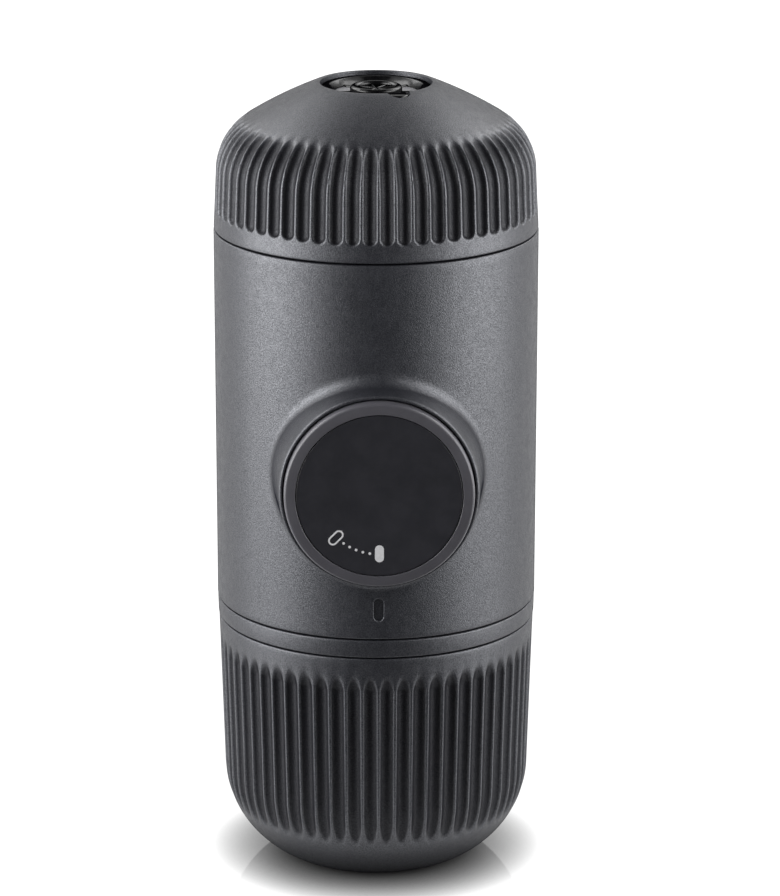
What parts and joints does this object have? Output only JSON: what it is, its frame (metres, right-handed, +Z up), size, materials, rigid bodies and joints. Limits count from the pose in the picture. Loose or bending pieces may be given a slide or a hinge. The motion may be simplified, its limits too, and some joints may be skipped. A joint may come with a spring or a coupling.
{
  "type": "handheld manual espresso maker",
  "caption": "Pocket espresso maker: fluted dome head with nozzle insert, plain body with a raised pump knob, screw-on water tank and fluted push-on cup.",
  "frame": {"origin": "centre of the cup's flat resting face, on the bottle's axis", "axes": "+Z up the bottle's axis to the outlet head; the pump knob faces -Y; +X to the knob's right seen from the front"},
  "size_m": [0.063, 0.0715, 0.156],
  "materials": {
    "slate_plastic": "fine moulded texture, satin",
    "black_gloss": "polished",
    "black_plastic": "satin moulded",
    "silicone": "matte food-grade silicone",
    "black_rubber": "matte",
    "stainless": "brushed",
    "pump_plastic": "glass-filled, satin"
  },
  "bodies": {
    "main_body": {"body_shell": "slate_plastic", "brew_chamber": "pump_plastic", "tank_spigot": "pump_plastic", "deck_screws": "stainless", "shower_screen": "stainless", "basket_seal": "silicone", "pump_cylinder": "pump_plastic", "cylinder_cap": "pump_plastic", "valve_washers": "silicone", "outlet_spring": "stainless", "inlet_spring": "stainless", "inlet_strainer": "black_plastic", "vent_valve": "silicone"},
    "outlet_valve": {"outlet_ball": "stainless"},
    "inlet_valve": {"inlet_ball": "stainless"},
    "basket": {"filter_basket": "stainless"},
    "head_seal": {"head_gasket": "silicone"},
    "head": {"outlet_head": "slate_plastic", "head_liner": "black_plastic"},
    "nozzle": {"outlet_nozzle": "black_plastic", "nozzle_oring": "black_rubber"},
    "lock": {"lock_collar": "black_plastic", "piston_spring": "stainless"},
    "piston": {"knob_shell": "slate_plastic", "knob_face": "black_gloss", "knob_screw": "stainless", "piston_rod": "stainless", "piston_head": "pump_plastic", "piston_seals": "black_rubber"},
    "tank_seal": {"tank_gasket": "silicone"},
    "tank": {"water_tank": "slate_plastic", "cup_ring": "black_rubber"},
    "drinking_cup": {"cup": "slate_plastic"}
  },
  "joints": [
    {"name": "basket_lift", "type": "slide", "parent": "main_body", "child": "basket", "axis": [0, 0, 1], "range_m": [0, 0.04]},
    {"name": "head_rise", "type": "slide", "parent": "basket", "child": "head_seal", "axis": [0, 0, 1], "range_m": [0, 0.012]},
    {"name": "head_turn", "type": "hinge", "parent": "head_seal", "child": "head", "pos_m": [0, 0, 0.1276], "axis": [0, 0, 1], "range_deg": [0, 630]},
    {"name": "nozzle_pull", "type": "slide", "parent": "head", "child": "nozzle", "axis": [0, 0, 1], "range_m": [0, 0.02]},
    {"name": "tank_drop", "type": "slide", "parent": "main_body", "child": "tank_seal", "axis": [0, 0, -1], "range_m": [0, 0.01]},
    {"name": "tank_turn", "type": "hinge", "parent": "tank_seal", "child": "tank", "pos_m": [0, 0, 0.0535], "axis": [0, 0, -1], "range_deg": [0, 540]},
    {"name": "cup_pull", "type": "slide", "parent": "tank", "child": "drinking_cup", "axis": [0, 0, -1], "range_m": [0, 0.06]},
    {"name": "piston_turn", "type": "hinge", "parent": "main_body", "child": "lock", "pos_m": [0, -0.0377, 0.085], "axis": [0, -1, 0], "range_deg": [0, 45]},
    {"name": "piston_push", "type": "slide", "parent": "lock", "child": "piston", "axis": [0, -1, 0], "range_m": [0, 0.012], "stiffness_N_per_m": 300, "springref_m": 0.02, "deforming": ["piston_spring"]},
    {"name": "outlet_lift", "type": "slide", "parent": "main_body", "child": "outlet_valve", "axis": [0, 0, 1], "range_m": [0, 0.001], "stiffness_N_per_m": 20, "springref_m": -0.002, "deforming": ["outlet_spring"]},
    {"name": "inlet_lift", "type": "slide", "parent": "main_body", "child": "inlet_valve", "axis": [0, 0, 1], "range_m": [0, 0.001], "stiffness_N_per_m": 20, "springref_m": -0.002, "deforming": ["inlet_spring"]}
  ],
  "couplings": [
    {"joint": "head_rise", "follows": "head_turn", "m_per_rad": 0.00095493},
    {"joint": "tank_drop", "follows": "tank_turn", "m_per_rad": 0.00095493}
  ]
}
